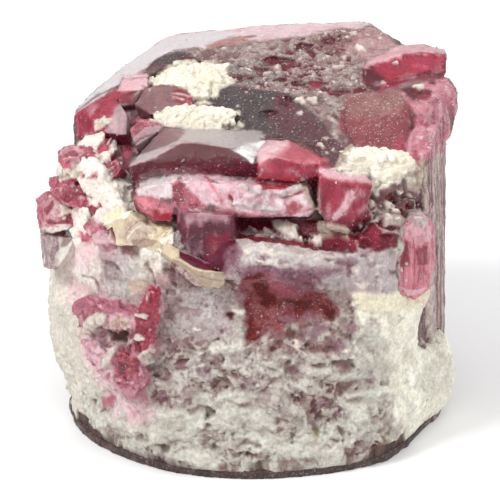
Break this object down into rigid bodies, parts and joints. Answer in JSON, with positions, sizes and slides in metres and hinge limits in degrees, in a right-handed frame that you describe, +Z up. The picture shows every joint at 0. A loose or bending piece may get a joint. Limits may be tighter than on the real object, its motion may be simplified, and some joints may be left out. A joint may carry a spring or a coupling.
{
  "type": "tourmaline crystal specimen",
  "caption": "Stout pink tourmaline crystal with an etched, stepped top, side crystals and a white albite crust; stands on its flat broken base.",
  "frame": {"origin": "middle of the flat broken base that the specimen stands on", "axes": "+Z up along the crystal's length, -Y towards the front with the albite crust, +X to the viewer's right"},
  "size_m": [0.0416, 0.0392, 0.0353],
  "materials": {
    "tourmaline": "glassy prism faces, dull etched top",
    "pink_crystal": "glassy",
    "mica": "pearly",
    "cream_albite": "matte, granular",
    "albite": "matte, granular"
  },
  "bodies": {
    "root": {"tourmaline_crystal": "tourmaline", "side_crystal_right": "pink_crystal", "lower_left_crystal": "pink_crystal", "left_crystal_top": "pink_crystal", "left_crystal_inner": "pink_crystal", "left_crystal_middle": "pink_crystal", "left_crystal_lower": "pink_crystal", "left_crystal_foot": "pink_crystal", "left_crystal_small": "pink_crystal", "mica_flake": "mica", "mica_scales": "mica", "albite_pocket_rear": "cream_albite", "albite_pocket_front": "cream_albite", "albite_pocket_right": "cream_albite", "albite_crust": "albite"}
  },
  "joints": []
}
